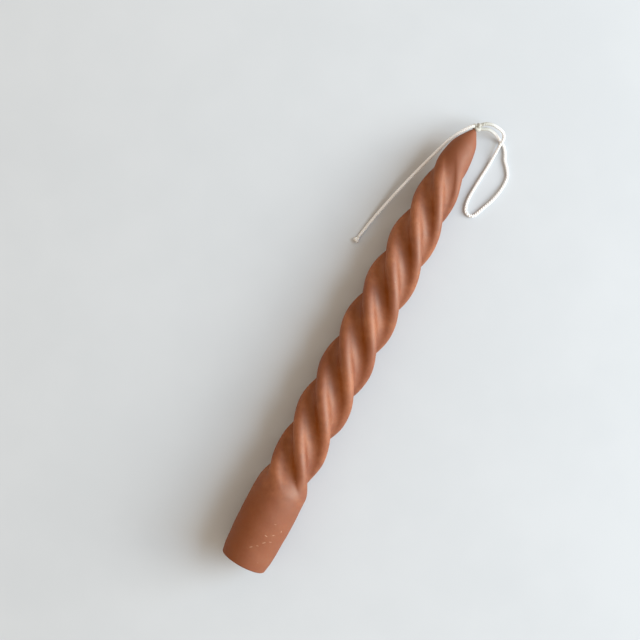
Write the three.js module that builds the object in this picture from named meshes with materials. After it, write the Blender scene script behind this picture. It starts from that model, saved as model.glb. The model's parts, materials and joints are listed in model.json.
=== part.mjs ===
// A hand-cast spiral taper candle lying on its side, with its free braided cotton wick.
// Millimetres, +Z up. The origin is on the table under the middle of the wax, and +X runs to the tip.

import * as THREE from 'three';

// The wax is a plain foot, a twisted shaft and a plain tip, end to end
const footLength = 37.5;
const twistedLength = 180.6;
const plainTipLength = 10.5;
const candleLength = footLength + twistedLength + plainTipLength;

// Outline of the foot and of the shaft's thick end, stations measured from the flat base
const baseFaceRadius = 10.3;
const rimRound = 0.8;
const footRadius = 11.85;
const footStation = 5.9;
const bulgeRadius = 12.7;
const bulgeStation = 26.9;
const neckRadius = 11.75;
const neckPastFoot = 20;
const neckStation = footLength + neckPastFoot;
const bellyRadius = 12.25;
const bellyPastFoot = 42.8;
const bellyStation = footLength + bellyPastFoot;

// Outline of the taper, measured back from the tip
const shaftRadius = 11.7;
const taperLength = 80;
const slenderRadius = 9.65;
const slenderLength = 34.5;
const shoulderRadius = 6.75;
const shoulderLength = 12;
const coneRadius = 5.75;
const coneLength = 7.7;
const tipRadius = 1.5;
const tipLean = 1.4;
const leanLength = 16.6;
const leanPower = 1.3;

// Four strands twisted to the left; one faces up just before the belly. The radius that rounds their crests
// and the radius at the grooves' floors are shares of the radius over the crests
const strandCount = 4;
const twistLead = 91.1;
const crestBeforeBelly = 0.5;
const crestStation = bellyStation - crestBeforeBelly;
const crestRound = 0.3;
const grooveFloor = 0.63;
const grooveOpening = 13.5;
const grooveClosing = 28;

// Wick, its two knots and the play around it
const wickRadius = 0.75;
const clearance = 0.3;
const tableClearance = 0.05;
const tipKnotRadius = 1.4;
const tipKnotAhead = 2.4;
const tipKnotAside = -0.6;
const endKnotRadius = 1.15;
const endKnotLength = 2.6;

// Fineness of the faceted faces
const sidesPerStrand = 10;
const ringSpacing = 4;
const rimSteps = 2;
const coneSteps = 3;
const boreSteps = 5;
const wickSides = 8;
const loopSteps = 54;
const tailSteps = 24;
const coreSteps = 24;
const knotSides = 12;
const knotSteps = 6;

// The loop leaves the knot, lies on the table and comes back: ahead of the tip, aside of it, and the rise
// from lying on the table (0) to the height of the tip (1)
const loopRoute = [
  [3.8, -1.6, 1.03],
  [5.2, -2.9, 1.03],
  [6.6, -5.0, 0.90],
  [7.4, -7.1, 0.76],
  [7.7, -9.2, 0.62],
  [7.8, -11.2, 0.50],
  [7.3, -13.2, 0.39],
  [6.0, -14.4, 0.31],
  [4.3, -14.8, 0.25],
  [2.3, -14.7, 0.20],
  [-2.6, -14.7, 0.08],
  [-9.3, -14.5, 0],
  [-15.7, -14.0, 0],
  [-22.1, -13.6, 0],
  [-27.8, -13.5, 0],
  [-31.1, -14.1, 0],
  [-33.4, -15.2, 0],
  [-34.3, -17.4, 0],
  [-33.3, -19.6, 0],
  [-30.9, -20.8, 0],
  [-27.8, -21.9, 0],
  [-23.8, -23.6, 0.03],
  [-18.9, -24.9, 0.03],
  [-13.5, -25.5, 0],
  [-9.1, -25.0, 0],
  [-5.9, -23.0, 0],
  [-2.9, -20.3, 0],
  [0.1, -18.8, 0],
  [2.6, -16.8, 0],
  [4.0, -14.5, 0],
  [4.9, -12.2, 0.09],
  [5.5, -10.0, 0.24],
  [5.4, -7.8, 0.44],
  [4.6, -5.3, 0.66],
  [3.4, -3.5, 0.79],
  [2.7, -1.9, 0.89],
];

// The tail runs over the shoulder of the tip and straight down to the table
const tailRoute = [
  [1.9, 0.9, 1.10],
  [1.2, 1.8, 1.16],
  [0.3, 2.6, 1.19],
  [-1.1, 3.7, 1.18],
  [-3.3, 5.2, 1.13],
  [-5.9, 6.7, 1.08],
  [-9.8, 8.6, 1.00],
  [-14.6, 10.3, 0.90],
  [-20.0, 12.1, 0.78],
  [-26.2, 14.1, 0.65],
  [-33.0, 16.2, 0.52],
  [-42.3, 18.8, 0.35],
  [-52.4, 21.4, 0.18],
  [-61.1, 23.3, 0.06],
  [-68.2, 24.6, 0],
];

const waxMaterial = new THREE.MeshStandardMaterial({ color: 0xa86245, roughness: 0.45, metalness: 0 });
const wickMaterial = new THREE.MeshStandardMaterial({ color: 0xece8dc, roughness: 0.9, metalness: 0 });
const boreRadius = wickRadius + clearance;

// The radius over the strands' crests at the stations that shape the candle
const outline = [
  [rimRound, baseFaceRadius + rimRound],
  [footStation, footRadius],
  [bulgeStation, bulgeRadius],
  [neckStation, neckRadius],
  [bellyStation, bellyRadius],
  [candleLength - taperLength, shaftRadius],
  [candleLength - slenderLength, slenderRadius],
  [candleLength - shoulderLength, shoulderRadius],
  [candleLength - coneLength, coneRadius],
  [candleLength, tipRadius],
];

// The slope of the smooth outline at one of its points: flat at a crest or dip, else the harmonic mean
function outlineSlope(index) {
  const slopeAfter = (k) => (outline[k + 1][1] - outline[k][1]) / (outline[k + 1][0] - outline[k][0]);
  if (index === 0) return slopeAfter(0);
  if (index === outline.length - 1) return slopeAfter(index - 1);
  const before = slopeAfter(index - 1);
  const after = slopeAfter(index);
  return before * after <= 0 ? 0 : (2 * before * after) / (before + after);
}

// A cubic from point to point of the outline, which never swings past them
function crestRadius(station) {
  let k = 0;
  while (k < outline.length - 2 && station > outline[k + 1][0]) k += 1;
  const span = outline[k + 1][0] - outline[k][0];
  const share = (station - outline[k][0]) / span;
  const rest = 1 - share;
  return (
    outline[k][1] * (1 + 2 * share) * rest * rest +
    outline[k + 1][1] * (3 - 2 * share) * share * share +
    span * share * rest * (outlineSlope(k) * rest - outlineSlope(k + 1) * share)
  );
}

// The share of its full depth that a groove has: it opens above the foot and closes below the tip
function grooveDepth(station) {
  const pastFoot = station - footLength;
  const beforeTip = candleLength - plainTipLength - station;
  const opening = THREE.MathUtils.smoothstep(pastFoot, 0, grooveOpening);
  const closing = THREE.MathUtils.smoothstep(beforeTip, 0, grooveClosing);
  return opening * closing;
}

// The section over the strands: a round crest on each, and in each groove one hollow arc that touches the
// floor and both crests beside it. In the floor's triangle with a crest's centre, the hollow's radius follows
// from the squared distance between them and the floor's depth under the line that touches both crests
const halfStrand = Math.PI / strandCount;
const crestCentre = 1 - crestRound;
const floorDistance = Math.hypot(
  grooveFloor * Math.cos(halfStrand) - crestCentre,
  grooveFloor * Math.sin(halfStrand),
);
const floorDepth = crestRound + crestCentre * Math.cos(halfStrand) - grooveFloor;
const hollowRound = (floorDistance ** 2 - crestRound ** 2) / (2 * floorDepth);
const hollowCentre = grooveFloor + hollowRound;
const touchShare = crestRound / (crestRound + hollowRound);
const touchAlong = crestCentre + touchShare * (hollowCentre * Math.cos(halfStrand) - crestCentre);
const touchAngle = Math.atan2(touchShare * hollowCentre * Math.sin(halfStrand), touchAlong);

function sectionRadius(fullRadius, angle) {
  const wrapped = THREE.MathUtils.euclideanModulo(angle + halfStrand, 2 * halfStrand) - halfStrand;
  const offCrest = Math.abs(wrapped);
  const offGroove = halfStrand - offCrest;
  if (offCrest <= touchAngle) {
    const across = crestCentre * Math.sin(offCrest);
    return fullRadius * (crestCentre * Math.cos(offCrest) + Math.sqrt(crestRound ** 2 - across ** 2));
  }
  const across = hollowCentre * Math.sin(offGroove);
  return fullRadius * (hollowCentre * Math.cos(offGroove) - Math.sqrt(hollowRound ** 2 - across ** 2));
}

// The axis is straight, except that the last stretch leans to one side
function axisPoint(station) {
  const share = Math.max(0, station - (candleLength - leanLength)) / leanLength;
  return new THREE.Vector3(station, -tipLean * share ** leanPower, 0);
}

// A point on a ring around the axis, turned to the left by as much as the strands are at one station
function ringPoint(station, radius, angle, twistStation) {
  const turned = angle - (2 * Math.PI * (twistStation - crestStation)) / twistLead;
  const centre = axisPoint(station);
  return new THREE.Vector3(
    centre.x,
    centre.y + radius * Math.cos(turned),
    centre.z + radius * Math.sin(turned),
  );
}

// Rings over the outside from base to tip, then back through the bore, closed round both ends. The columns
// of points follow the strands but run straight in the round foot and in the bore, so the bore's last ring
// meets the base's first ring some whole number of sides further round
function waxGeometry() {
  const sides = strandCount * sidesPerStrand;
  const angles = Array.from({ length: sides }, (_, side) => (2 * Math.PI * side) / sides);
  const rings = [];
  for (let step = 0; step < rimSteps; step += 1) {
    const turn = (step / rimSteps) * (Math.PI / 2);
    const station = rimRound * (1 - Math.cos(turn));
    const radius = baseFaceRadius + rimRound * Math.sin(turn);
    rings.push(angles.map((angle) => ringPoint(station, radius, angle, footLength)));
  }
  const coneStart = candleLength - coneLength;
  const shaftSteps = Math.ceil((coneStart - rimRound) / ringSpacing);
  const stations = [];
  for (let step = 0; step < shaftSteps; step += 1) {
    stations.push(rimRound + ((coneStart - rimRound) * step) / shaftSteps);
  }
  for (let step = 0; step <= coneSteps; step += 1) {
    stations.push(coneStart + (coneLength * step) / coneSteps);
  }
  for (const station of stations) {
    const crest = crestRadius(station);
    const depth = grooveDepth(station);
    rings.push(
      angles.map((angle) => {
        const radius = crest - depth * (crest - sectionRadius(crest, angle));
        return ringPoint(station, radius, angle, Math.max(footLength, station));
      }),
    );
  }
  const boreStations = [0];
  for (let step = 0; step <= boreSteps; step += 1) {
    boreStations.unshift(candleLength - leanLength * (1 - step / boreSteps));
  }
  for (const station of boreStations) {
    rings.push(angles.map((angle) => ringPoint(station, boreRadius, angle, candleLength)));
  }
  const faces = [];
  for (let ring = 0; ring < rings.length; ring += 1) {
    const next = (ring + 1) % rings.length;
    const slip = next === 0 ? Math.round((sides * (candleLength - footLength)) / twistLead) : 0;
    const column = (side) => THREE.MathUtils.euclideanModulo(side - slip, sides);
    for (let side = 0; side < sides; side += 1) {
      const beside = (side + 1) % sides;
      const here = ring * sides;
      const there = next * sides;
      faces.push(here + side, here + beside, there + column(beside));
      faces.push(here + side, there + column(beside), there + column(side));
    }
  }
  const geometry = new THREE.BufferGeometry().setFromPoints(rings.flat());
  geometry.setIndex(faces);
  geometry.computeVertexNormals();
  return geometry;
}

// A tube of flat-sided section along a smooth curve
function tubeGeometry(curve, steps) {
  const section = new THREE.Shape();
  for (let side = 0; side < wickSides; side += 1) {
    const angle = (2 * Math.PI * side) / wickSides;
    section[side === 0 ? 'moveTo' : 'lineTo'](wickRadius * Math.cos(angle), wickRadius * Math.sin(angle));
  }
  return new THREE.ExtrudeGeometry(section, { steps, bevelEnabled: false, extrudePath: curve });
}

// A tight knot: a small round-ended barrel about the X axis
function knotGeometry(length, radius) {
  const profile = [];
  for (let step = 0; step <= knotSteps; step += 1) {
    const turn = (Math.PI * step) / knotSteps - Math.PI / 2;
    profile.push(new THREE.Vector2(Math.max(0, radius * Math.cos(turn)), (length / 2) * Math.sin(turn)));
  }
  profile[0].x = 0;
  profile[knotSteps].x = 0;
  return new THREE.LatheGeometry(profile, knotSides).rotateZ(-Math.PI / 2);
}

function named(name, geometry, material) {
  const mesh = new THREE.Mesh(geometry, material);
  mesh.name = name;
  return mesh;
}

// How far the candle tips to lie on the two places that carry it: the lowest chord under its middle
function restingTilt(geometry) {
  const middle = candleLength / 2;
  const place = geometry.getAttribute('position');
  const behind = [];
  const ahead = [];
  for (let k = 0; k < place.count; k += 1) {
    const point = { along: place.getX(k), height: place.getZ(k) };
    (point.along < middle ? behind : ahead).push(point);
  }
  let lowest = Infinity;
  let tilt = 0;
  for (const near of behind) {
    for (const far of ahead) {
      const slope = (far.height - near.height) / (far.along - near.along);
      const height = near.height + slope * (middle - near.along);
      if (height < lowest) {
        lowest = height;
        tilt = Math.atan(slope);
      }
    }
  }
  return tilt;
}

// The wax and the stretch of wick inside it lie together on the table
const wax = named('wax_body', waxGeometry(), waxMaterial);
const lying = new THREE.Group();
lying.add(wax);
lying.rotation.y = restingTilt(wax.geometry);
lying.updateMatrixWorld(true);
const extent = new THREE.Box3().setFromObject(wax, true);
const middle = extent.getCenter(new THREE.Vector3());
lying.position.set(-middle.x, -middle.y, -extent.min.z);

const coreEnd = tipKnotAhead - tipKnotRadius - clearance;
const leanSlope = (leanPower * tipLean) / leanLength;
const corePoints = [];
for (let step = 0; step <= coreSteps; step += 1) {
  corePoints.push(axisPoint(clearance + ((candleLength - clearance) * step) / coreSteps));
}
corePoints.push(axisPoint(candleLength).add(new THREE.Vector3(coreEnd, -coreEnd * leanSlope, 0)));
const coreCurve = new THREE.CatmullRomCurve3(corePoints);
lying.add(named('wick_core', tubeGeometry(coreCurve, coreSteps), wickMaterial));

// The free wick is placed from the tip of the wax and from the table
lying.updateMatrixWorld(true);
const tip = lying.localToWorld(axisPoint(candleLength));
const lyingHeight = wickRadius + tableClearance;
const routePoint = ([ahead, aside, rise]) =>
  new THREE.Vector3(tip.x + ahead, tip.y + aside, lyingHeight + rise * (tip.z - lyingHeight));
const routeCurve = (route) => new THREE.CatmullRomCurve3(route.map(routePoint));
const loopCurve = routeCurve(loopRoute);
const tailCurve = routeCurve(tailRoute);

const tipKnot = named('wick_tip_knot', knotGeometry(2 * tipKnotRadius, tipKnotRadius), wickMaterial);
tipKnot.position.set(tip.x + tipKnotAhead, tip.y + tipKnotAside, tip.z);

const tailEnd = tailCurve.getPoint(1);
const endWay = tailCurve.getTangent(1).setZ(0).normalize();
const endKnot = named('wick_end_knot', knotGeometry(endKnotLength, endKnotRadius), wickMaterial);
endKnot.rotation.z = Math.atan2(endWay.y, endWay.x);
endKnot.position.copy(tailEnd).addScaledVector(endWay, endKnotLength / 2 + clearance).setZ(endKnotRadius);

const candle = new THREE.Group();
candle.add(
  lying,
  tipKnot,
  named('wick_loop', tubeGeometry(loopCurve, loopSteps), wickMaterial),
  named('wick_tail', tubeGeometry(tailCurve, tailSteps), wickMaterial),
  endKnot,
);

export default candle;
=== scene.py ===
"""The looks of a hand-cast spiral taper candle lying on a pale table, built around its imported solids."""

import json
import math

import bpy
import numpy as np
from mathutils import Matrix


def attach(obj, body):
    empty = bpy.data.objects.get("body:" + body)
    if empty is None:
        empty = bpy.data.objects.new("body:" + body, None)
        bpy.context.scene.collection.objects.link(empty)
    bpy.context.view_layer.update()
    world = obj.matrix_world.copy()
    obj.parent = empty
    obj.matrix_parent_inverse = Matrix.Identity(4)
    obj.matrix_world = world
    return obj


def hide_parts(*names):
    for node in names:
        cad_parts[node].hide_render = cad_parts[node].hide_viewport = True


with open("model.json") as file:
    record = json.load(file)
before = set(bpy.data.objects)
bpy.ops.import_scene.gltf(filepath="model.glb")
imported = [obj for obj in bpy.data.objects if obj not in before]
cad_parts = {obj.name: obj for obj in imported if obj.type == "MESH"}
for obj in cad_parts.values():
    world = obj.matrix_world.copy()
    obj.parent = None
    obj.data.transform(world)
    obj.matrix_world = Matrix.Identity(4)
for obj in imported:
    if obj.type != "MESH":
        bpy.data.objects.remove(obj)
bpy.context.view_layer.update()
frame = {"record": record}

MM = 0.001
TURN = 2 * math.pi

# Camera: straight above the table, turned so that the candle points up and to the right
CAMERA_PLACE = (2.18 * MM, 20.95 * MM, 454 * MM)
CAMERA_TURN = math.radians(-62.14)
PICTURE_PIXELS = 640
FOCAL_PIXELS = 943.4
SENSOR_WIDTH = 36
NEAREST_SEEN = 10 * MM

# The wax is a plain foot, a twisted shaft and a plain tip, end to end
FOOT_LENGTH = 37.5 * MM
TWISTED_LENGTH = 180.6 * MM
PLAIN_TIP_LENGTH = 10.5 * MM
CANDLE_LENGTH = FOOT_LENGTH + TWISTED_LENGTH + PLAIN_TIP_LENGTH
BASE_FACE_RADIUS = 10.3 * MM
RIM_ROUND = 0.8 * MM
BELLY_STATION = FOOT_LENGTH + 42.8 * MM
TIP_LEAN = 1.4 * MM
LEAN_LENGTH = 16.6 * MM
LEAN_POWER = 1.3

# The radius over the strands' crests, at stations from the flat base
OUTLINE = np.array(
    [
        (RIM_ROUND, BASE_FACE_RADIUS + RIM_ROUND),
        (5.9 * MM, 11.85 * MM),
        (26.9 * MM, 12.7 * MM),
        (FOOT_LENGTH + 20 * MM, 11.75 * MM),
        (BELLY_STATION, 12.25 * MM),
        (CANDLE_LENGTH - 80 * MM, 11.7 * MM),
        (CANDLE_LENGTH - 34.5 * MM, 9.65 * MM),
        (CANDLE_LENGTH - 12 * MM, 6.75 * MM),
        (CANDLE_LENGTH - 7.7 * MM, 5.75 * MM),
        (CANDLE_LENGTH, 1.5 * MM),
    ]
)

# Four strands twisted to the left, with crests and grooves as shares of the radius over the crests
STRANDS = 4
CREST_ROUND = 0.3
GROOVE_FLOOR = 0.63
TWIST_LEAD = 91.1 * MM
CREST_STATION = BELLY_STATION - 0.5 * MM
GROOVE_OPENING = 13.5 * MM
GROOVE_CLOSING = 28 * MM

# The slight unevenness of the hand-finished skin, which fades out by the base and by the tip: the height of
# each wave in millimetres, its length in metres, its turns round the wax and its start
HAND_WAVES = [
    (0.045, 0.041, 2, 0.7),
    (0.04, 0.017, -1, 2.1),
    (0.03, 0.0093, 3, 4.0),
]
EVEN_BY_BASE = 6 * MM
EVEN_BY_TIP = 14 * MM

# Where the wax draws up the wick at the tip, and dishes in around it at the base
COLLAR_LENGTH = 1.1 * MM
COLLAR_OVERLAP = 0.4 * MM
DISH_DEPTH = 0.35 * MM
DISH_RADIUS = 3.2 * MM
HOLE_PLAY = 0.03 * MM

# Wick: three yarns plaited to a cord about 1.5 mm wide
WICK_RADIUS = 0.75 * MM
TABLE_CLEARANCE = 0.05 * MM
YARNS = 3
YARN_RADIUS = 0.42 * MM
PLAIT_HALF_WIDTH = 0.36 * MM
PLAIT_HALF_THICKNESS = 0.23 * MM
PLAIT_LENGTH = 3.8 * MM
CORE_END_GAP = 0.3 * MM

# Wax soaked into the wick swells the yarns and draws them together. It is at its most up to the first
# length from the tip knot, and ends at the second
SOAKED_SWELLING = 0.5
SOAKED_DRAWING = 0.35
LOOP_SOAKED = (3 * MM, 14 * MM)
TAIL_SOAKED = (0.5 * MM, 4 * MM)
TAIL_SOAKED_MOST = 0.5
TIP_KNOT_SOAKED = 0.9
END_KNOT_SOAKED = 0.2

# Knots: how far each reaches from its middle, and the radius and the ribs of the tube it is wound from
KNOT_STRETCH = 1.1
KNOT_RISE = 1.6
KNOT_RIB_DEPTH = 0.06
KNOT_RIBS = 3
KNOT_RIB_TURNS = 12
TIP_KNOT_AHEAD = 2.4 * MM
TIP_KNOT_ASIDE = -0.6 * MM
TIP_KNOT_HEADING = (0.2, -0.6, 0.2)
TIP_KNOT_REACH = 2.25 * MM
TIP_KNOT_TUBE = 0.86 * MM
END_KNOT_REACH = 1.5 * MM
END_KNOT_HEIGHT = 1.2 * MM
END_KNOT_TUBE = 0.62 * MM
END_KNOT_LENGTH = 2.6 * MM
END_KNOT_GAP = 0.3 * MM
TAIL_END_STEPS = 5

# The loop, from the tip knot over the table and back: ahead of the tip, aside of it, and the rise from
# lying on the table (0) to the height of the tip (1)
LOOP_ROUTE = [
    (3.8, -1.6, 1.03),
    (5.2, -2.9, 1.03),
    (6.6, -5.0, 0.90),
    (7.4, -7.1, 0.76),
    (7.7, -9.2, 0.62),
    (7.8, -11.2, 0.50),
    (7.3, -13.2, 0.39),
    (6.0, -14.4, 0.31),
    (4.3, -14.8, 0.25),
    (2.3, -14.7, 0.20),
    (-2.6, -14.7, 0.08),
    (-9.3, -14.5, 0),
    (-15.7, -14.0, 0),
    (-22.1, -13.6, 0),
    (-27.8, -13.5, 0),
    (-31.1, -14.1, 0),
    (-33.4, -15.2, 0),
    (-34.3, -17.4, 0),
    (-33.3, -19.6, 0),
    (-30.9, -20.8, 0),
    (-27.8, -21.9, 0),
    (-23.8, -23.6, 0.03),
    (-18.9, -24.9, 0.03),
    (-13.5, -25.5, 0),
    (-9.1, -25.0, 0),
    (-5.9, -23.0, 0),
    (-2.9, -20.3, 0),
    (0.1, -18.8, 0),
    (2.6, -16.8, 0),
    (4.0, -14.5, 0),
    (4.9, -12.2, 0.09),
    (5.5, -10.0, 0.24),
    (5.4, -7.8, 0.44),
    (4.6, -5.3, 0.66),
    (3.4, -3.5, 0.79),
    (2.7, -1.9, 0.89),
]

# The tail, from the tip knot over the shoulder of the wax and straight down to the table
TAIL_ROUTE = [
    (1.9, 0.9, 1.10),
    (1.2, 1.8, 1.16),
    (0.3, 2.6, 1.19),
    (-1.1, 3.7, 1.18),
    (-3.3, 5.2, 1.13),
    (-5.9, 6.7, 1.08),
    (-9.8, 8.6, 1.00),
    (-14.6, 10.3, 0.90),
    (-20.0, 12.1, 0.78),
    (-26.2, 14.1, 0.65),
    (-33.0, 16.2, 0.52),
    (-42.3, 18.8, 0.35),
    (-52.4, 21.4, 0.18),
    (-61.1, 23.3, 0.06),
    (-68.2, 24.6, 0),
]

# Wax colours: two cloudy tones, darker blotches, painted groove shade, a darker foot and tip, and pale
# knocks
WAX_TONE_DEEP = (0.195, 0.048, 0.018, 1)
WAX_TONE_PALE = (0.33, 0.111, 0.049, 1)
WAX_TONE_BLOTCH = (0.19, 0.043, 0.016, 1)
WAX_PAINTED_GROOVE_SHADE = (0.12, 0.021, 0.008, 1)
WAX_TONE_DARKER_ENDS = (0.19, 0.050, 0.020, 1)
WAX_TONE_KNOCKED = (0.50, 0.30, 0.20, 1)

# How much each of them takes over where it is at its strongest
BLOTCH_SHARE = 0.5
PAINTED_GROOVE_SHADE_SHARE = 0.3
DARKER_ENDS_SHARE = 0.8
SPECK_SHARE = 0.5
KNOCKED_SHARE = 0.7

# Patterns on the wax, and the heights of its waves, pits and grain
WAX_CLOUDS_PER_METRE = 55.0
WAX_BLOTCHES_PER_METRE = 150.0
WAX_SPECKS = {"Cells per metre": 210.0, "Share of cells": 0.12, "Reach in cell": 0.14}
WAX_PITS = {"Cells per metre": 420.0, "Share of cells": 0.1, "Reach in cell": 0.2}
WAVES_PER_METRE = 260.0
GRAINS_PER_METRE = 2600.0
WAVE_HEIGHT = 0.10 * MM
PIT_DEPTH = 0.05 * MM
GRAIN_HEIGHT = 0.006 * MM

# The handled foot and tip are dull, and of a darker tone: stations where both start and where they are full
DULL_FOOT = (FOOT_LENGTH + 6 * MM, FOOT_LENGTH - 10 * MM)
DULL_TIP = (CANDLE_LENGTH - PLAIN_TIP_LENGTH - 28 * MM, CANDLE_LENGTH - PLAIN_TIP_LENGTH - 4 * MM)

# Skin: the roughness of satin and of dull wax from cloud to cloud, and what is the same all over
SATIN_ROUGHNESS = (0.6, 0.68)
DULL_ROUGHNESS = (0.7, 0.8)
WAX_SKIN = {
    "IOR": 1.54,
    "Specular IOR Level": 1.0,
    "Specular Tint": (1.0, 0.91, 0.77, 1),
    "Subsurface Weight": 0.15,
    "Subsurface Radius": (1.0, 0.32, 0.16),
    "Subsurface Scale": 2.2 * MM,
}

# Pale flecks where the wax was knocked: middle and half lengths in millimetres, with the turn about Z in
# degrees between them. A fleck is at its palest out to a share of its reach
WAX_FLECKS = [
    ((-103.7, 0.5, 25.6), -52, (1.1, 0.26, 1.5)),
    ((-101.9, -1.9, 25.5), -75, (0.9, 0.2, 1.5)),
    ((-99.4, -3.9, 25.0), -50, (1.2, 0.22, 1.6)),
    ((-96.1, -3.3, 25.2), -95, (1.0, 0.24, 1.6)),
    ((-94.6, -6.2, 24.2), -60, (0.8, 0.2, 1.8)),
    ((-98.0, -6.4, 24.0), -80, (0.9, 0.16, 1.9)),
    ((-91.8, -8.7, 22.5), 10, (0.7, 0.2, 2.4)),
    ((-89.6, -4.6, 24.6), -70, (0.7, 0.14, 1.8)),
    ((-68.4, -3.5, 23.5), 10, (0.35, 0.3, 2.5)),
    ((86.6, 0.0, 22.5), 0, (0.4, 0.35, 2.5)),
    ((83.5, -6.9, 19.0), 25, (0.4, 0.3, 2.5)),
]
FLECK_MIDDLE = 0.35

# Cotton: dry yarn, the shade between its fibres and in its clouds, and yarn soaked in wax. The pattern of
# the fibres is drawn together along the cord and turned a little, so that they run slantwise
COTTON_WHITE = (0.85, 0.84, 0.83, 1)
COTTON_SHADE = (0.74, 0.73, 0.71, 1)
COTTON_SOAKED = (0.40, 0.39, 0.345, 1)
COTTON_CLOUDS_PER_METRE = 160.0
CLOUD_SHADE_SHARE = 0.25
FIBRE_SHADE_SHARE = 0.35
FIBRE_CLOSENESS = 900
FIBRE_SLANT = math.radians(0.06)
FIBRE_STRENGTH = 0.7
FIBRE_HEIGHT = 0.05 * MM
FIBRE_WAVE = {"Scale": 1.0, "Distortion": 2.5, "Detail": 2.0, "Detail Scale": 2.0}
DRY_TO_SOAKED_ROUGHNESS = (0.88, 0.42)
COTTON_SKIN = {
    "Sheen Weight": 0.25,
    "Subsurface Weight": 0.2,
    "Subsurface Radius": (1.0, 0.9, 0.75),
    "Subsurface Scale": 0.4 * MM,
}

# Table: half the length of its side, and its finish
TABLE_HALF = 1.5
TABLE_TONE = (0.552, 0.577, 0.608, 1)
TABLE_SHADE = (0.532, 0.558, 0.589, 1)
TABLE_CLOUDS_PER_METRE = 9.0
TABLE_SKIN = {"Roughness": 0.9, "Specular IOR Level": 0.15}

# Noise: the detail of a broad and of a fine one
BROAD_DETAIL = 3.0
FINE_DETAIL = 2.0

# Cloudy patches: how much finer the second noise is, its share, and the values of none and full
CLOUD_FINER = 5.3
CLOUD_FINE_SHARE = 0.3
CLOUD_EDGES = (0.34, 0.66)

# Places of a colour mix's share, colours and result among the Mix node's sockets
MIX_SHARE = 0
MIX_FIRST = 6
MIX_SECOND = 7
MIX_RESULT = 2

# Light: a soft window at the picture's right, a low warm glow below it, and the room's own light
WINDOW_BEARING = CAMERA_TURN
WINDOW_HEIGHT = math.radians(35)
WINDOW_DISTANCE = 1.6
WINDOW_SIZE = 1.3
WINDOW_POWER = 37
WINDOW_COLOUR = (0.71, 0.87, 1.0)
GLOW_HEIGHT = math.radians(17)
GLOW_SIZE = 0.7
GLOW_POWER = 14
GLOW_COLOUR = (1.0, 0.93, 0.8)
ROOM_COLOUR = (1.0, 0.845, 0.68)
ROOM_STRENGTH = 0.74

# What the camera takes for black, and leaves out of every channel
BLACK_LEVEL = 0.02

# Fineness of the meshes: rows of points along the wax and round a piece, and steps along the wick
WAX_COLUMNS = 160
FACE_ROWS = 16
RIM_ROWS = 8
SHAFT_ROWS = 400
TIP_ROWS = 28
COLLAR_ROWS = 10
HOLE_ROWS = 12
YARN_SIDES = 10
YARN_STEP = 0.2 * MM
SPAN_SAMPLES = 24
CORE_POINTS = 60
KNOT_ROWS = 180
KNOT_SIDES = 14

# Added to a direction, it keeps a cross product from vanishing
HAIR = 1e-6

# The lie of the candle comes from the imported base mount, a point on the base above its middle
MOUNT_ABOVE_MIDDLE = 6 * MM
base_mount = frame["record"]["mounts"][0]
ALONG = -np.array(base_mount["axis"])
ALONG /= np.linalg.norm(ALONG)
ASIDE = np.array([0.0, 1.0, 0.0])
ABOVE = np.cross(ALONG, ASIDE)
BASE_MIDDLE = np.array(base_mount["pos_m"]) - MOUNT_ABOVE_MIDDLE * ABOVE


def placed(along, aside, above):
    """Row-frame points for coordinates along, aside of and above the axis of the lying candle."""
    return BASE_MIDDLE + along[..., None] * ALONG + aside[..., None] * ASIDE + above[..., None] * ABOVE


def lean_at(station):
    """How far the axis leans aside: nothing, then TIP_LEAN times a power of the way to the tip."""
    share = np.maximum(0, station - (CANDLE_LENGTH - LEAN_LENGTH)) / LEAN_LENGTH
    return -TIP_LEAN * share**LEAN_POWER


def smooth_step(low, high, value):
    """0 below low, 1 above high, and 3t^2 - 2t^3 between them."""
    share = np.clip((value - low) / (high - low), 0, 1)
    return share * share * (3 - 2 * share)


# Camera and cords

camera = bpy.data.objects.new("camera", bpy.data.cameras.new("camera"))
bpy.context.scene.collection.objects.link(camera)
camera.location = CAMERA_PLACE
camera.rotation_euler = (0, 0, CAMERA_TURN)
camera.data.sensor_width = SENSOR_WIDTH
camera.data.lens = SENSOR_WIDTH * FOCAL_PIXELS / PICTURE_PIXELS
camera.data.clip_start = NEAREST_SEEN
bpy.context.scene.camera = camera


def mesh_piece(name, points, faces, smooth=True):
    """A named object at the origin from an (n, 3) array of points and a list of face index arrays."""
    sides = np.concatenate([np.full(len(group), group.shape[1]) for group in faces])
    corners = np.concatenate([group.ravel() for group in faces])
    mesh = bpy.data.meshes.new(name)
    mesh.vertices.add(len(points))
    mesh.vertices.foreach_set("co", np.ascontiguousarray(points, np.float32).ravel())
    mesh.loops.add(len(corners))
    mesh.loops.foreach_set("vertex_index", corners.astype(np.int32))
    mesh.polygons.add(len(sides))
    starts = np.concatenate([[0], np.cumsum(sides)[:-1]])
    mesh.polygons.foreach_set("loop_start", starts.astype(np.int32))
    mesh.polygons.foreach_set("use_smooth", np.full(len(sides), smooth))
    mesh.update(calc_edges=True)
    mesh.validate()
    piece = bpy.data.objects.new(name, mesh)
    bpy.context.scene.collection.objects.link(piece)
    return piece


def point_values(piece, name, values):
    """Stores one number per point of a piece's mesh, for its material to read."""
    layer = piece.data.attributes.new(name, "FLOAT", "POINT")
    layer.data.foreach_set("value", np.ascontiguousarray(values, np.float32).ravel())


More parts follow.
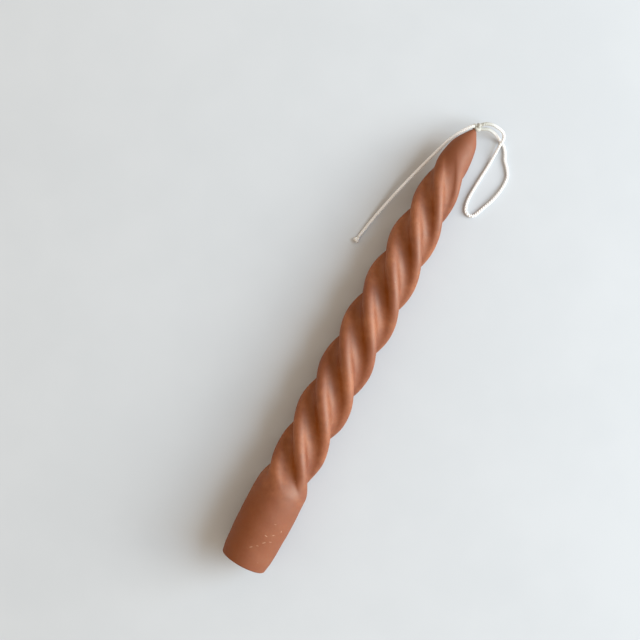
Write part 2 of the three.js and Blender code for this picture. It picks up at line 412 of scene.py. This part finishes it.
def corner_map(piece, across, lengthwise, period):
    """A UV map from two numbers per point; the first wraps round at its period, and each face keeps to one
    side of the wrap by taking its first corner's value and adding the shortest way to the others."""
    mesh = piece.data
    vertex = np.empty(len(mesh.loops), np.int32)
    mesh.loops.foreach_get("vertex_index", vertex)
    start = np.empty(len(mesh.polygons), np.int32)
    mesh.polygons.foreach_get("loop_start", start)
    size = np.empty(len(mesh.polygons), np.int32)
    mesh.polygons.foreach_get("loop_total", size)
    first = np.repeat(np.mod(across[vertex[start]], period), size)
    way = across[vertex] - first
    way -= period * np.round(way / period)
    layer = mesh.uv_layers.new(name="surface")
    layer.data.foreach_set("uv", np.stack([first + way, lengthwise[vertex]], -1).astype(np.float32).ravel())


def smooth_route(points, step):
    """A centripetal Catmull-Rom curve through the points, sampled at even lengths of about step. Between
    two points it is a cubic whose end slopes weigh the chords on both sides by the roots of their
    lengths."""
    ends = np.vstack([2 * points[0] - points[1], points, 2 * points[-1] - points[-2]])
    p0, p1, p2, p3 = ends[:-3], ends[1:-2], ends[2:-1], ends[3:]
    root = np.sqrt(np.linalg.norm(np.diff(ends, axis=0), axis=1))[:, None]
    d0, d1, d2 = root[:-2], root[1:-1], root[2:]
    slope1 = d1 * ((p1 - p0) / d0 - (p2 - p0) / (d0 + d1) + (p2 - p1) / d1)
    slope2 = d1 * ((p2 - p1) / d1 - (p3 - p1) / (d1 + d2) + (p3 - p2) / d2)
    t = np.linspace(0, 1, SPAN_SAMPLES, endpoint=False)[None, :, None]
    p1, p2, slope1, slope2 = (a[:, None, :] for a in (p1, p2, slope1, slope2))
    curve = (2 * t**3 - 3 * t**2 + 1) * p1 + (t**3 - 2 * t**2 + t) * slope1
    curve = curve + (3 * t**2 - 2 * t**3) * p2 + (t**3 - t**2) * slope2
    curve = np.vstack([curve.reshape(-1, 3), points[-1]])
    length = np.concatenate([[0], np.cumsum(np.linalg.norm(np.diff(curve, axis=0), axis=1))])
    even = np.linspace(0, length[-1], int(round(length[-1] / step)) + 1)
    return np.stack([np.interp(even, length, curve[:, k]) for k in range(3)], -1), even


def unit(vectors):
    """The vectors with their lengths made 1."""
    return vectors / np.linalg.norm(vectors, axis=-1, keepdims=True)


def tube_faces(rows, columns, first):
    """Quads between rows of points round a tube, and a fan to an end point past each end of it."""
    row, column = np.meshgrid(np.arange(rows - 1), np.arange(columns), indexing="ij")
    beside = (column + 1) % columns
    here = first + row * columns
    quads = np.stack([here + column, here + beside, here + columns + beside, here + columns + column], -1)
    side = np.arange(columns)
    following = (side + 1) % columns
    last = first + (rows - 1) * columns
    near = np.stack([np.full(columns, first + rows * columns), first + following, first + side], -1)
    far = np.stack([np.full(columns, first + rows * columns + 1), last + side, last + following], -1)
    return quads.reshape(-1, 4), np.vstack([near, far])


def plaited_wick(name, centre, length, soaked):
    """Three yarns plaited along a centre line. Yarn k lies aside of it by half the width times sin(t) and
    above it by half the thickness times sin(2t), with t one turn per plait length and a third of a turn
    between yarns. Where the wick is soaked in wax the yarns draw together and swell into one rod."""
    heading = unit(np.gradient(centre, axis=0))
    aside = unit(np.cross([0.0, 0.0, 1.0], heading))
    above = np.cross(heading, aside)
    phase = TURN * length[None, :] / PLAIT_LENGTH + TURN * np.arange(YARNS)[:, None] / YARNS
    spread = 1 - SOAKED_DRAWING * soaked
    out = (PLAIT_HALF_WIDTH * np.sin(phase) * spread)[..., None] * aside
    out = out + (PLAIT_HALF_THICKNESS * np.sin(2 * phase) * spread)[..., None] * above
    radius = (YARN_RADIUS * (1 + SOAKED_SWELLING * soaked))[None, :, None, None]
    angle = TURN * np.arange(YARN_SIDES) / YARN_SIDES
    ring = np.cos(angle)[:, None] * aside[:, None, :] + np.sin(angle)[:, None] * above[:, None, :]
    points = (centre + out)[:, :, None, :] + radius * ring
    rows = len(centre)
    parts = []
    faces = []
    for yarn in range(YARNS):
        quads, fans = tube_faces(rows, YARN_SIDES, yarn * (rows * YARN_SIDES + 2))
        parts += [points[yarn].reshape(-1, 3), (centre + out[yarn])[[0, -1]]]
        faces += [quads, fans]
    piece = mesh_piece(name, np.vstack(parts), faces)
    around = np.concatenate([np.tile(angle, rows), [0, 0]])
    lengthwise = np.concatenate([np.repeat(length, YARN_SIDES), length[[0, -1]]])
    wet = np.concatenate([np.repeat(soaked, YARN_SIDES), soaked[[0, -1]]])
    corner_map(piece, np.tile(around / TURN, YARNS), np.tile(lengthwise, YARNS), 1)
    point_values(piece, "soaked", np.tile(wet, YARNS))
    return piece


tip_station = np.array(CANDLE_LENGTH)
tip = placed(tip_station, lean_at(tip_station), np.zeros(()))
lying_height = WICK_RADIUS + TABLE_CLEARANCE


def route_points(route):
    """Row-frame points of a route given as ahead of the tip, aside of it, and its share of the tip's
    height."""
    ahead, aside, rise = np.array(route).T
    height = lying_height + rise * (tip[2] - lying_height)
    return np.stack([tip[0] + ahead * MM, tip[1] + aside * MM, height], -1)


loop_line, loop_length = smooth_route(route_points(LOOP_ROUTE), YARN_STEP)
tail_line, tail_length = smooth_route(route_points(TAIL_ROUTE), YARN_STEP)

# Wax has crept along both ends of the loop from the knot, and a little way down the tail
loop_ends = np.minimum(loop_length, loop_length[-1] - loop_length)
loop_soaked = 1 - smooth_step(*LOOP_SOAKED, loop_ends)
tail_soaked = TAIL_SOAKED_MOST * (1 - smooth_step(*TAIL_SOAKED, tail_length))

wick_loop = plaited_wick("wick_loop_plait", loop_line, loop_length, loop_soaked)
wick_tail = plaited_wick("wick_tail_plait", tail_line, tail_length, tail_soaked)


def knot_piece(name, middle, heading, reach, tube_radius, soaked):
    """A pulled-tight overhand knot: a tube along a trefoil, (sin t + 2 sin 2t, cos t - 2 cos 2t, -sin 3t)
    times a third of its reach, stretched along its heading and upwards, with a slight rope-like ribbing
    round the tube."""
    t = TURN * np.arange(KNOT_ROWS) / KNOT_ROWS
    size = (reach - tube_radius) / 3
    along = unit(np.array(heading, float))
    aside = unit(np.cross([0.0, 0.0, 1.0], along))
    above = np.cross(along, aside)
    line = (
        (size * KNOT_STRETCH * (np.cos(t) - 2 * np.cos(2 * t)))[:, None] * along
        + (size * (np.sin(t) + 2 * np.sin(2 * t)))[:, None] * aside
        + (-KNOT_RISE * size * np.sin(3 * t))[:, None] * above
    )
    forward = unit(np.roll(line, -1, axis=0) - np.roll(line, 1, axis=0))
    side = unit(np.cross(forward, above + HAIR))
    up = np.cross(side, forward)
    angle = TURN * np.arange(KNOT_SIDES) / KNOT_SIDES
    ribbing = 1 + KNOT_RIB_DEPTH * np.cos(KNOT_RIBS * angle[None, :] + KNOT_RIB_TURNS * t[:, None])
    ring = np.cos(angle)[None, :, None] * side[:, None, :] + np.sin(angle)[None, :, None] * up[:, None, :]
    points = middle + line[:, None, :] + tube_radius * ribbing[..., None] * ring
    row, column = np.meshgrid(np.arange(KNOT_ROWS), np.arange(KNOT_SIDES), indexing="ij")
    after = (row + 1) % KNOT_ROWS
    beside = (column + 1) % KNOT_SIDES
    quads = [
        row * KNOT_SIDES + column,
        after * KNOT_SIDES + column,
        after * KNOT_SIDES + beside,
        row * KNOT_SIDES + beside,
    ]
    piece = mesh_piece(name, points.reshape(-1, 3), [np.stack(quads, -1).reshape(-1, 4)])
    corner_map(piece, np.tile(angle / TURN, KNOT_ROWS), np.repeat(t * size, KNOT_SIDES), 1)
    point_values(piece, "soaked", np.full(KNOT_ROWS * KNOT_SIDES, soaked))
    return piece


tip_knot_middle = tip + np.array([TIP_KNOT_AHEAD, TIP_KNOT_ASIDE, 0])
tip_knot = knot_piece(
    "wick_tip_knot_wrap",
    tip_knot_middle,
    TIP_KNOT_HEADING,
    TIP_KNOT_REACH,
    TIP_KNOT_TUBE,
    TIP_KNOT_SOAKED,
)

# The end knot heads the way that the last steps of the tail go
tail_way = unit((tail_line[-1] - tail_line[-1 - TAIL_END_STEPS]) * [1, 1, 0])
end_knot_middle = tail_line[-1] + tail_way * (END_KNOT_GAP + END_KNOT_LENGTH / 2)
end_knot_middle[2] = END_KNOT_HEIGHT
end_knot = knot_piece(
    "wick_end_knot_wrap",
    end_knot_middle,
    tail_way,
    END_KNOT_REACH,
    END_KNOT_TUBE,
    END_KNOT_SOAKED,
)

# The stretch of wick inside the wax shows at both ends of it
core_ahead = np.linspace(CORE_END_GAP, CANDLE_LENGTH, CORE_POINTS)
core_line = placed(core_ahead, lean_at(core_ahead), np.zeros(CORE_POINTS))
core_line, core_length = smooth_route(np.vstack([core_line, tip_knot_middle]), YARN_STEP)
core_soaked = np.ones(len(core_length))
wick_core = plaited_wick("wick_core_plait", core_line, core_length, core_soaked)

# Wax


def crest_radius(station):
    """The outline over the crests: a cubic between its points, whose slope at each is the harmonic mean of
    the chords beside it, or flat where they rise and fall."""
    x, r = OUTLINE.T
    chord = np.diff(r) / np.diff(x)
    before, after = chord[:-1], chord[1:]
    same = before * after > 0
    mean = np.where(same, 2 * before * after / np.where(same, before + after, 1), 0)
    slope = np.concatenate([chord[:1], mean, chord[-1:]])
    k = np.clip(np.searchsorted(x, station) - 1, 0, len(x) - 2)
    span = x[k + 1] - x[k]
    t = (station - x[k]) / span
    near = r[k] * (1 + 2 * t) * (1 - t) ** 2 + span * slope[k] * t * (1 - t) ** 2
    far = r[k + 1] * (3 - 2 * t) * t**2 - span * slope[k + 1] * t**2 * (1 - t)
    return near + far


def groove_depth(station):
    """The share of its full depth that a groove has at a station."""
    opening = smooth_step(FOOT_LENGTH, FOOT_LENGTH + GROOVE_OPENING, station)
    before_tip = CANDLE_LENGTH - PLAIN_TIP_LENGTH - station
    return opening * smooth_step(0, GROOVE_CLOSING, before_tip)


def section_radius(crest, angle):
    """The section over one strand, mirrored about its crest: an arc round the crest, and a hollow arc that
    touches it and the groove's floor. The hollow's radius is the squared distance from the crest arc's
    centre to the floor, less that arc's radius squared, over twice the depth of the floor under the line
    that touches two neighbouring crest arcs."""
    half = math.pi / STRANDS
    off_crest = np.abs((angle + half) % (2 * half) - half)
    off_groove = half - off_crest
    centre = 1 - CREST_ROUND
    apart = GROOVE_FLOOR**2 - 2 * centre * GROOVE_FLOOR * math.cos(half) + centre**2
    depth = CREST_ROUND + centre * math.cos(half) - GROOVE_FLOOR
    hollow = (apart - CREST_ROUND**2) / (2 * depth)
    share = CREST_ROUND / (CREST_ROUND + hollow)
    across = (GROOVE_FLOOR + hollow) * math.sin(half)
    along = (GROOVE_FLOOR + hollow) * math.cos(half)
    touch = math.atan2(share * across, centre + share * (along - centre))
    under = np.clip(CREST_ROUND**2 - (centre * np.sin(off_crest)) ** 2, 0, None)
    on_crest = centre * np.cos(off_crest) + np.sqrt(under)
    under = np.clip(hollow**2 - ((GROOVE_FLOOR + hollow) * np.sin(off_groove)) ** 2, 0, None)
    on_hollow = (GROOVE_FLOOR + hollow) * np.cos(off_groove) - np.sqrt(under)
    return crest * np.where(off_crest < touch, on_crest, on_hollow)


def all_round(values):
    """One value per row, repeated for every column of the wax."""
    return np.repeat(values[:, None], WAX_COLUMNS, axis=1)


def hand_made(station, angle):
    """The sum of a few long waves that cross each other: the height of each times the sine of its turns
    along and round the wax."""
    waves = 0.0
    for height, length, turns, start in HAND_WAVES:
        waves = waves + height * np.sin(TURN * station / length + turns * angle + start)
    return waves * MM


def wax_piece():
    """The wax as rows of points: from the hole in the base over the base face and the rim, along the
    twisted side to the tip, up the wick in a thin collar, and back through the hole. A row is a circle or a
    section about the leaning axis. The columns of points follow the strands, so the hole's last row meets
    the first row some whole number of columns further round."""
    hole = WICK_RADIUS + HOLE_PLAY
    side_end = CANDLE_LENGTH - COLLAR_OVERLAP
    tip_start = CANDLE_LENGTH - PLAIN_TIP_LENGTH
    face = np.linspace(hole, BASE_FACE_RADIUS, FACE_ROWS, endpoint=False)
    rim = np.linspace(0, math.pi / 2, RIM_ROWS, endpoint=False)
    shaft = np.linspace(RIM_ROUND, tip_start, SHAFT_ROWS, endpoint=False)
    side = np.concatenate([shaft, np.linspace(tip_start, side_end, TIP_ROWS)])
    climb = np.linspace(0, 1, COLLAR_ROWS)[1:]
    back = np.linspace(CANDLE_LENGTH, CANDLE_LENGTH - LEAN_LENGTH, HOLE_ROWS)

    angle = TURN * np.arange(WAX_COLUMNS) / WAX_COLUMNS
    turn = TURN * (side - CREST_STATION) / TWIST_LEAD
    foot_turn = TURN * (FOOT_LENGTH - CREST_STATION) / TWIST_LEAD
    tip_turn = TURN * (CANDLE_LENGTH - CREST_STATION) / TWIST_LEAD
    turn = np.maximum(turn, foot_turn)

    crest = crest_radius(side)[:, None]
    grooved = section_radius(crest, angle[None, :])
    side_radius = crest - groove_depth(side)[:, None] * (crest - grooved)
    fading = smooth_step(0, EVEN_BY_BASE, side) * smooth_step(0, EVEN_BY_TIP, CANDLE_LENGTH - side)
    uneven = hand_made(side[:, None], angle[None, :] - turn[:, None])
    side_radius = side_radius + fading[:, None] * uneven
    sunk = (crest - side_radius) / crest

    collar = hole + (side_radius[-1].mean() - hole) * (1 - climb) ** 2
    round_rows = [
        (DISH_DEPTH * np.exp(-((face / DISH_RADIUS) ** 2)), face, foot_turn),
        (RIM_ROUND * (1 - np.cos(rim)), BASE_FACE_RADIUS + RIM_ROUND * np.sin(rim), foot_turn),
        (side, side_radius, turn),
        (side_end + (COLLAR_LENGTH + COLLAR_OVERLAP) * climb, collar, tip_turn),
        (np.append(back, DISH_DEPTH), np.full(len(back) + 1, hole), tip_turn),
    ]
    station = np.concatenate([rows[0] for rows in round_rows])
    radius = np.vstack([rows[1] if rows[1].ndim == 2 else all_round(rows[1]) for rows in round_rows])
    turned = np.concatenate([np.broadcast_to(rows[2], rows[0].shape) for rows in round_rows])
    true_angle = angle[None, :] - turned[:, None]
    aside = lean_at(station)[:, None] + radius * np.cos(true_angle)
    points = placed(all_round(station), aside, radius * np.sin(true_angle))

    count = len(station)
    slip = round(WAX_COLUMNS * (tip_turn - foot_turn) / TURN)
    row, column = np.meshgrid(np.arange(count), np.arange(WAX_COLUMNS), indexing="ij")
    shift = np.where(row == count - 1, slip, 0)
    next_row = (row + 1) % count
    beside = (column + 1) % WAX_COLUMNS
    quads = [
        row * WAX_COLUMNS + column,
        row * WAX_COLUMNS + beside,
        next_row * WAX_COLUMNS + (beside - shift) % WAX_COLUMNS,
        next_row * WAX_COLUMNS + (column - shift) % WAX_COLUMNS,
    ]
    piece = mesh_piece("wax_twisted_body", points.reshape(-1, 3), [np.stack(quads, -1).reshape(-1, 4)])
    # How deep each point of the side sits in its groove; the wax material reads it to paint shade into the
    # grooves
    depth = np.zeros((count, WAX_COLUMNS))
    first = len(face) + len(rim)
    depth[first : first + len(side)] = sunk / sunk.max()
    point_values(piece, "groove", depth)
    return piece


wax = wax_piece()

# Materials


def add_node(tree, kind, inputs=(), **settings):
    """Adds a node, sets its settings, and sets each input to a value or links it to a node's output."""
    node = tree.nodes.new(kind)
    for name, value in settings.items():
        setattr(node, name, value)
    for name, value in dict(inputs).items():
        socket = node.inputs[name]
        if isinstance(value, bpy.types.NodeSocket):
            tree.links.new(value, socket)
        else:
            socket.default_value = value
    return node


def maths(tree, operation, first, second):
    """What a Math node makes of two values."""
    return add_node(tree, "ShaderNodeMath", {0: first, 1: second}, operation=operation).outputs[0]


def faded(tree, value, none, full):
    """0 where a value is at none, 1 where it is at full, and a smooth step between them."""
    node = add_node(
        tree,
        "ShaderNodeMapRange",
        {"Value": value, "From Min": none, "From Max": full},
        interpolation_type="SMOOTHSTEP",
    )
    return node.outputs["Result"]


def between(tree, share, ends):
    """A value that goes from the first end to the second as the share goes from 0 to 1."""
    node = add_node(tree, "ShaderNodeMapRange", {"Value": share, "To Min": ends[0], "To Max": ends[1]})
    return node.outputs["Result"]


def mixed_value(tree, share, first, second):
    """One value turning into another by a share."""
    return add_node(tree, "ShaderNodeMix", {"Factor": share, "A": first, "B": second}).outputs["Result"]


def mixed_colour(tree, share, first, second):
    """One colour turning into another by a share."""
    inputs = {MIX_SHARE: share, MIX_FIRST: first, MIX_SECOND: second}
    return add_node(tree, "ShaderNodeMix", inputs, data_type="RGBA").outputs[MIX_RESULT]


def tinted(tree, colour, tone, mask, most):
    """A colour turning into a tone where a mask is 1, but only by a share of the way."""
    return mixed_colour(tree, maths(tree, "MULTIPLY", mask, most), colour, tone)


def noise(tree, coordinates, per_metre, detail):
    """Soft noise with so many lumps to the metre."""
    inputs = {"Vector": coordinates, "Scale": per_metre, "Detail": detail}
    return add_node(tree, "ShaderNodeTexNoise", inputs).outputs["Fac"]


def relief(tree, height, distance, strength=1.0, under=None, sunk=False):
    """The normal of a surface raised or sunk by a pattern, over another such normal if there is one."""
    inputs = {"Height": height, "Strength": strength, "Distance": distance}
    if under is not None:
        inputs["Normal"] = under
    return add_node(tree, "ShaderNodeBump", inputs, invert=sunk).outputs["Normal"]


def new_material(name):
    """An empty node material and its tree."""
    material = bpy.data.materials.new(name)
    material.use_nodes = True
    material.node_tree.nodes.clear()
    return material, material.node_tree


def finish_surface(tree, inputs):
    """Gives a material its Principled shader."""
    shader = add_node(tree, "ShaderNodeBsdfPrincipled", inputs)
    add_node(tree, "ShaderNodeOutputMaterial", {"Surface": shader.outputs["BSDF"]})


def group_tree(name, inputs):
    """An empty node group with float or vector inputs and one mask as its output, and its two end nodes."""
    tree = bpy.data.node_groups.new(name, "ShaderNodeTree")
    for label, kind in inputs:
        tree.interface.new_socket(label, in_out="INPUT", socket_type=kind)
    tree.interface.new_socket("Mask", in_out="OUTPUT", socket_type="NodeSocketFloat")
    return tree, tree.nodes.new("NodeGroupInput"), tree.nodes.new("NodeGroupOutput")


def group_mask(tree, group, inputs):
    """The mask of a node group, placed in a tree with its own values."""
    return add_node(tree, "ShaderNodeGroup", inputs, node_tree=group).outputs["Mask"]


def cloudy_group():
    """Soft uneven patches from 0 to 1: a broad noise with a finer one laid over it."""
    tree, entry, leave = group_tree(
        "cloudy patches",
        [("Vector", "NodeSocketVector"), ("Patches per metre", "NodeSocketFloat")],
    )
    coordinates = entry.outputs["Vector"]
    per_metre = entry.outputs["Patches per metre"]
    broad = noise(tree, coordinates, per_metre, BROAD_DETAIL)
    fine = noise(tree, coordinates, maths(tree, "MULTIPLY", per_metre, CLOUD_FINER), FINE_DETAIL)
    patches = faded(tree, mixed_value(tree, CLOUD_FINE_SHARE, broad, fine), *CLOUD_EDGES)
    tree.links.new(patches, leave.inputs["Mask"])
    return tree


def specks_group():
    """Small round specks strewn over a surface: the middles of those Voronoi cells that a random number
    picks, out to a random share of the cell."""
    tree, entry, leave = group_tree(
        "strewn specks",
        [
            ("Vector", "NodeSocketVector"),
            ("Cells per metre", "NodeSocketFloat"),
            ("Share of cells", "NodeSocketFloat"),
            ("Reach in cell", "NodeSocketFloat"),
        ],
    )
    cells = add_node(
        tree,
        "ShaderNodeTexVoronoi",
        {"Vector": entry.outputs["Vector"], "Scale": entry.outputs["Cells per metre"]},
    )
    number = add_node(tree, "ShaderNodeSeparateColor", {"Color": cells.outputs["Color"]})
    picked = maths(tree, "LESS_THAN", number.outputs["Red"], entry.outputs["Share of cells"])
    reach = maths(tree, "MULTIPLY", number.outputs["Green"], entry.outputs["Reach in cell"])
    speck = maths(tree, "MULTIPLY", faded(tree, cells.outputs["Distance"], reach, 0.0), picked)
    tree.links.new(speck, leave.inputs["Mask"])
    return tree


cloudy = cloudy_group()
specks = specks_group()


def cloud_mask(tree, coordinates, per_metre):
    """Cloudy patches, so many to the metre."""
    return group_mask(tree, cloudy, {"Vector": coordinates, "Patches per metre": per_metre})


def fleck_mask(tree, coordinates):
    """The greatest of the flecks' masks: each is 0 at the skin of a turned ellipsoid and 1 inside it."""
    greatest = 0.0
    for middle, turn, reach in WAX_FLECKS:
        inside = add_node(
            tree,
            "ShaderNodeMapping",
            {
                "Vector": coordinates,
                "Location": [value * MM for value in middle],
                "Rotation": (0, 0, math.radians(turn)),
                "Scale": [value * MM for value in reach],
            },
            vector_type="TEXTURE",
        ).outputs["Vector"]
        away = add_node(tree, "ShaderNodeVectorMath", {0: inside}, operation="LENGTH").outputs["Value"]
        greatest = maths(tree, "MAXIMUM", faded(tree, away, 1.0, FLECK_MIDDLE), greatest)
    return greatest


def dull_mask(tree, coordinates):
    """1 on the handled foot and tip, fading to 0 on the shaft between them."""
    ahead = add_node(tree, "ShaderNodeSeparateXYZ", {"Vector": coordinates}).outputs["X"]
    greatest = 0.0
    for none, full in (DULL_FOOT, DULL_TIP):
        end = faded(tree, ahead, BASE_MIDDLE[0] + none, BASE_MIDDLE[0] + full)
        greatest = maths(tree, "MAXIMUM", end, greatest)
    return greatest


def wax_material():
    """Dyed wax with a satin skin: light goes a few millimetres in, red furthest. Cloudy tone with darker
    blotches, painted shade that deepens the colour in the grooves, duller skin and a darker tone on the
    handled foot and tip, a few pale specks and flecks, and a surface that waves, pits and is finely
    grained."""
    material, tree = new_material("terracotta wax")
    coordinates = add_node(tree, "ShaderNodeTexCoord").outputs["Object"]
    clouds = cloud_mask(tree, coordinates, WAX_CLOUDS_PER_METRE)
    blotches = cloud_mask(tree, coordinates, WAX_BLOTCHES_PER_METRE)
    groove = add_node(tree, "ShaderNodeAttribute", attribute_name="groove").outputs["Fac"]
    pale = group_mask(tree, specks, {"Vector": coordinates, **WAX_SPECKS})
    pits = group_mask(tree, specks, {"Vector": coordinates, **WAX_PITS})
    flecks = fleck_mask(tree, coordinates)
    dull = dull_mask(tree, coordinates)

    colour = mixed_colour(tree, clouds, WAX_TONE_DEEP, WAX_TONE_PALE)
    # A darker tone on the foot and tip
    colour = tinted(tree, colour, WAX_TONE_DARKER_ENDS, dull, DARKER_ENDS_SHARE)
    colour = tinted(tree, colour, WAX_TONE_BLOTCH, blotches, BLOTCH_SHARE)
    # Painted shade: the colour deepens towards the floor of each groove, by how deep the point sits
    colour = tinted(tree, colour, WAX_PAINTED_GROOVE_SHADE, groove, PAINTED_GROOVE_SHADE_SHARE)
    knocked = maths(tree, "MAXIMUM", maths(tree, "MULTIPLY", pale, SPECK_SHARE), flecks)
    colour = tinted(tree, colour, WAX_TONE_KNOCKED, knocked, KNOCKED_SHARE)

    satin = between(tree, clouds, SATIN_ROUGHNESS)
    dulled = between(tree, clouds, DULL_ROUGHNESS)
    waves = noise(tree, coordinates, WAVES_PER_METRE, FINE_DETAIL)
    grain = noise(tree, coordinates, GRAINS_PER_METRE, FINE_DETAIL)
    normal = relief(tree, waves, WAVE_HEIGHT)
    normal = relief(tree, pits, PIT_DEPTH, under=normal, sunk=True)
    normal = relief(tree, grain, GRAIN_HEIGHT, under=normal)
    roughness = mixed_value(tree, dull, satin, dulled)
    finish_surface(tree, {"Base Color": colour, "Roughness": roughness, "Normal": normal, **WAX_SKIN})
    return material


def cotton_material():
    """Cotton yarn: fine fibres that run slantwise round it, and where wax has soaked in a greyer, olive,
    glossier tone with the fibres drowned."""
    material, tree = new_material("wick cotton")
    surface = add_node(tree, "ShaderNodeUVMap", uv_map="surface").outputs["UV"]
    coordinates = add_node(tree, "ShaderNodeTexCoord").outputs["Object"]
    soaked = add_node(tree, "ShaderNodeAttribute", attribute_name="soaked").outputs["Fac"]
    slanted = add_node(
        tree,
        "ShaderNodeMapping",
        {"Vector": surface, "Rotation": (0, 0, FIBRE_SLANT), "Scale": (1, FIBRE_CLOSENESS, 1)},
    ).outputs["Vector"]
    fibres = add_node(
        tree,
        "ShaderNodeTexWave",
        {"Vector": slanted, **FIBRE_WAVE},
        bands_direction="DIAGONAL",
    ).outputs["Fac"]
    clouds = cloud_mask(tree, coordinates, COTTON_CLOUDS_PER_METRE)

    dry = tinted(tree, COTTON_WHITE, COTTON_SHADE, fibres, FIBRE_SHADE_SHARE)
    dry = tinted(tree, dry, COTTON_SHADE, clouds, CLOUD_SHADE_SHARE)
    colour = mixed_colour(tree, soaked, dry, COTTON_SOAKED)
    roughness = between(tree, soaked, DRY_TO_SOAKED_ROUGHNESS)
    normal = relief(tree, fibres, FIBRE_HEIGHT, strength=FIBRE_STRENGTH)
    finish_surface(tree, {"Base Color": colour, "Roughness": roughness, "Normal": normal, **COTTON_SKIN})
    return material


def table_material():
    """A plain painted table top: pale, matt, with faint clouds."""
    material, tree = new_material("pale table")
    coordinates = add_node(tree, "ShaderNodeTexCoord").outputs["Object"]
    clouds = cloud_mask(tree, coordinates, TABLE_CLOUDS_PER_METRE)
    colour = mixed_colour(tree, clouds, TABLE_TONE, TABLE_SHADE)
    finish_surface(tree, {"Base Color": colour, **TABLE_SKIN})
    return material


wax_finish = wax_material()
cotton_finish = cotton_material()
PIECES = [
    (wax, "wax_body", "wax", wax_finish),
    (wick_core, "wick_core", "wick", cotton_finish),
    (tip_knot, "wick_tip_knot", "wick", cotton_finish),
    (wick_loop, "wick_loop", "wick", cotton_finish),
    (wick_tail, "wick_tail", "wick", cotton_finish),
    (end_knot, "wick_end_knot", "wick", cotton_finish),
]
for piece, node_name, slot_name, finish in PIECES:
    piece.data.materials.append(finish)
    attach(piece, "root")
    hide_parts(node_name)

# Table and light

corners = np.array([(-1, -1, 0), (1, -1, 0), (1, 1, 0), (-1, 1, 0)]) * TABLE_HALF
table = mesh_piece("table_top", corners, [np.array([[0, 1, 2, 3]])], smooth=False)
table.data.materials.append(table_material())


def soft_light(name, height, size, power, colour):
    """A square soft light on the window's side, at the window's distance, turned towards the candle."""
    light = bpy.data.objects.new(name, bpy.data.lights.new(name, "AREA"))
    bpy.context.scene.collection.objects.link(light)
    light.data.shape = "SQUARE"
    light.data.size = size
    light.data.energy = power
    light.data.color = colour
    light.location = [
        WINDOW_DISTANCE * math.cos(height) * math.cos(WINDOW_BEARING),
        WINDOW_DISTANCE * math.cos(height) * math.sin(WINDOW_BEARING),
        WINDOW_DISTANCE * math.sin(height),
    ]
    light.rotation_euler = (math.pi / 2 - height, 0, WINDOW_BEARING + math.pi / 2)


soft_light("window", WINDOW_HEIGHT, WINDOW_SIZE, WINDOW_POWER, WINDOW_COLOUR)
soft_light("glow", GLOW_HEIGHT, GLOW_SIZE, GLOW_POWER, GLOW_COLOUR)

room = bpy.data.worlds.new("room")
room.use_nodes = True
room.node_tree.nodes["Background"].inputs["Color"].default_value = (*ROOM_COLOUR, 1)
room.node_tree.nodes["Background"].inputs["Strength"].default_value = ROOM_STRENGTH
bpy.context.scene.world = room
view = bpy.context.scene.view_settings
view.view_transform = "Standard"
view.use_curve_mapping = True
view.curve_mapping.black_level = (BLACK_LEVEL, BLACK_LEVEL, BLACK_LEVEL)
view.curve_mapping.update()
